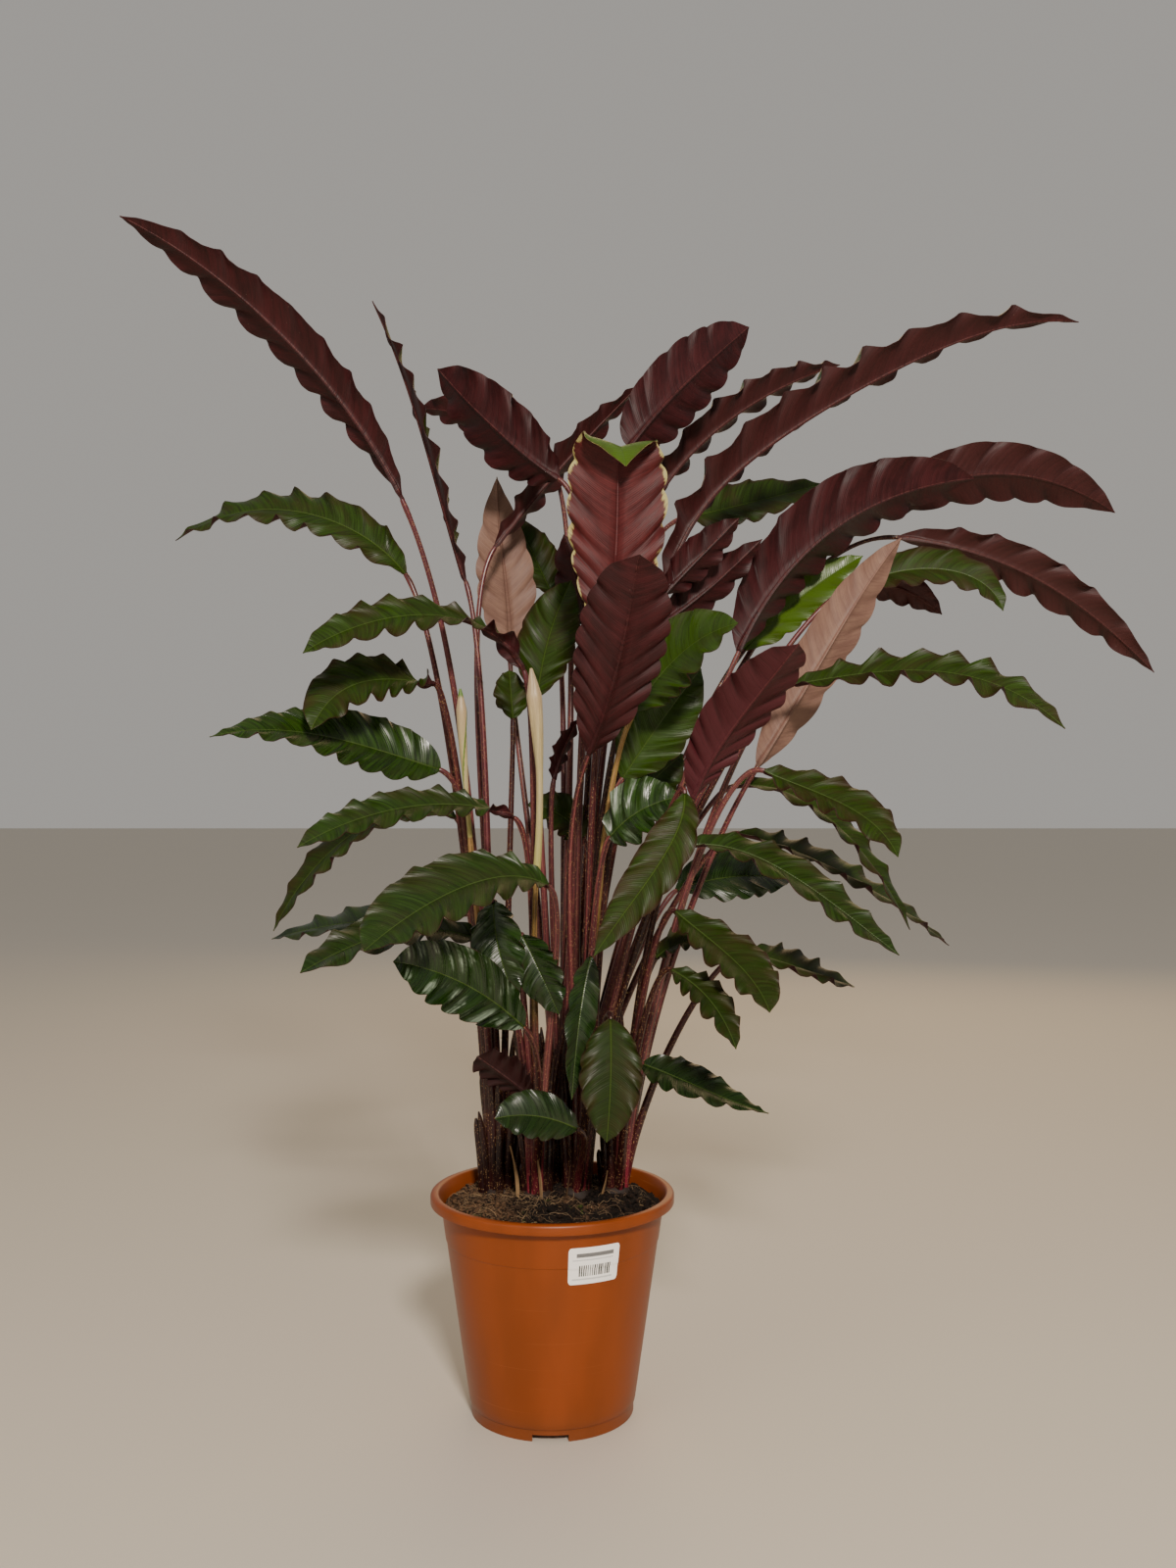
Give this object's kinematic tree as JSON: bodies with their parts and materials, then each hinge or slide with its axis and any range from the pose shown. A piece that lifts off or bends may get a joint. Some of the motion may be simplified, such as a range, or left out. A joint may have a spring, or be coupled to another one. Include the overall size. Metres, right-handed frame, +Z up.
{
  "type": "potted plant",
  "caption": "Potted foliage plant with long, wavy-edged lance-shaped leaves on thin stalks, rooted in soil in a round tapered plastic pot with a small white label.",
  "frame": {"origin": "on the ground under the middle of the pot, where the flat middle of its floor rests", "axes": "+Z up, the way the plant grows; -Y towards the front, the side with the label a little to its right; +X to the right of the front"},
  "size_m": [0.8566, 0.4414, 0.8999],
  "materials": {
    "pot_plastic": "satin terracotta-brown polypropylene",
    "label_paper": "matt white coated paper",
    "soil": "dark fibrous potting compost with pale roots",
    "leaf_stalk": "maroon leaf stalk with fine short hairs",
    "leaf_green": "glossy dark green upper side with a pale midrib",
    "leaf_purple": "velvety burgundy underside with a rose midrib",
    "leaf_pale": "pale pink-tan underside of a newer leaf",
    "leaf_red": "brick red underside with cream margins",
    "leaf_rolled": "cream young leaf, still rolled up"
  },
  "bodies": {
    "root": {"pot": "pot_plastic", "label": "label_paper", "soil": "soil", "stalks_left": "leaf_stalk", "blade_left_1": "leaf_purple", "blade_left_2": "leaf_green", "blade_left_3": "leaf_green", "blade_left_4": "leaf_green", "blade_left_5": "leaf_green", "blade_left_6": "leaf_green", "blade_left_7": "leaf_green", "blade_left_8": "leaf_purple", "stalks_front": "leaf_stalk", "blade_front_1": "leaf_green", "blade_front_2": "leaf_green", "blade_front_3": "leaf_green", "blade_front_4": "leaf_green", "blade_front_5": "leaf_green", "blade_front_6": "leaf_green", "stalks_middle": "leaf_stalk", "blade_middle_1": "leaf_green", "blade_middle_2": "leaf_green", "blade_middle_3": "leaf_purple", "blade_middle_4": "leaf_green", "blade_middle_5": "leaf_green", "blade_middle_6": "leaf_green", "blade_middle_7": "leaf_purple", "blade_middle_8": "leaf_green", "blade_middle_9": "leaf_red", "blade_middle_10": "leaf_purple", "blade_middle_11": "leaf_green", "stalks_right": "leaf_stalk", "blade_right_1": "leaf_green", "blade_right_2": "leaf_green", "blade_right_3": "leaf_green", "blade_right_4": "leaf_green", "blade_right_5": "leaf_green", "blade_right_6": "leaf_green", "blade_right_7": "leaf_green", "blade_right_8": "leaf_pale", "stalks_back": "leaf_stalk", "blade_back_1": "leaf_purple", "blade_back_2": "leaf_purple", "blade_back_3": "leaf_purple", "blade_back_4": "leaf_purple", "blade_back_5": "leaf_purple", "blade_back_6": "leaf_purple", "blade_back_7": "leaf_green", "blade_back_8": "leaf_purple", "blade_back_9": "leaf_purple", "blade_back_10": "leaf_purple", "blade_back_11": "leaf_green", "blade_back_12": "leaf_green", "blade_back_13": "leaf_green", "blade_back_14": "leaf_green", "blade_back_15": "leaf_green", "blade_back_16": "leaf_green", "blade_back_17": "leaf_pale", "rolled_left": "leaf_rolled", "rolled_front": "leaf_rolled"}
  },
  "joints": []
}
